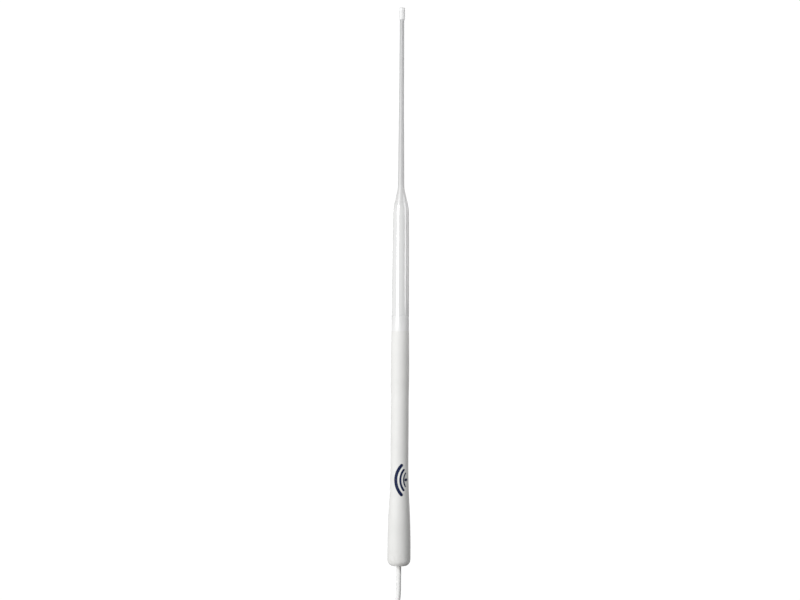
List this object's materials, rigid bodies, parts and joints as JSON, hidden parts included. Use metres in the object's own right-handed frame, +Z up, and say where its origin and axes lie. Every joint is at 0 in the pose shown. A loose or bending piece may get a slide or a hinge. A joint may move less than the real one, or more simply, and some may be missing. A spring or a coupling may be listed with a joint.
{
  "type": "omnidirectional antenna",
  "caption": "Slender tapered fibreglass whip antenna with a flared threaded foot, a tip cap and a white coaxial lead ending in a UHF plug.",
  "frame": {"origin": "centre of the ring at the foot's mouth, where the foot seats on its mount", "axes": "+Z up along the whip, -Z the way the lead leaves the foot, +X and +Y across; the spare lead's hank faces -Y"},
  "size_m": [0.1148, 0.0604, 1.221],
  "materials": {
    "cap_plastic": "bright white moulded plastic",
    "gelcoat": "glossy white lacquered fibreglass",
    "ferrule_nylon": "matt off-white moulded nylon",
    "resin": "cast resin",
    "brass": "turned brass",
    "copper": "bare copper",
    "tinned_braid": "tinned copper braid",
    "rubber": "black rubber",
    "cable_jacket": "white PVC jacket",
    "ptfe": "white PTFE",
    "shrink_tube": "black heat-shrink",
    "ceramic": "lacquered ceramic disc",
    "foam": "closed-cell foam",
    "tie_nylon": "natural nylon",
    "nickel": "nickel-plated brass",
    "badge_print": "dark blue printed mark"
  },
  "bodies": {
    "antenna": {"tip_cap": "cap_plastic", "tip_plug": "resin", "radome_tube": "gelcoat", "base_ferrule": "ferrule_nylon", "thread_insert": "brass", "base_plug": "resin", "base_o_ring": "rubber", "cable_grommet": "rubber", "inner_coax": "cable_jacket", "coax_braid": "tinned_braid", "coax_dielectric": "ptfe", "coax_conductor": "copper", "ground_ring": "brass", "coil_former": "ptfe", "matching_coil": "copper", "coil_leads": "copper", "tap_lead": "copper", "coil_sleeve": "shrink_tube", "matching_capacitor": "ceramic", "rod_socket": "brass", "radiator_rod": "brass", "rod_spacers": "foam", "cable_run": "cable_jacket", "cable_coil": "cable_jacket", "cable_tail": "cable_jacket", "cable_ties": "tie_nylon", "plug_boot": "rubber", "plug_reducer": "nickel", "plug_lead_end": "cable_jacket", "plug_body": "nickel", "plug_insulator": "ptfe", "plug_pin": "nickel"},
    "coupling": {"coupling_ring": "nickel"}
  },
  "joints": [
    {"name": "coupling_spin", "type": "hinge", "parent": "antenna", "child": "coupling", "pos_m": [-0.0382, -0.0271, -0.294], "axis": [0, 0, 1], "continuous": true}
  ]
}
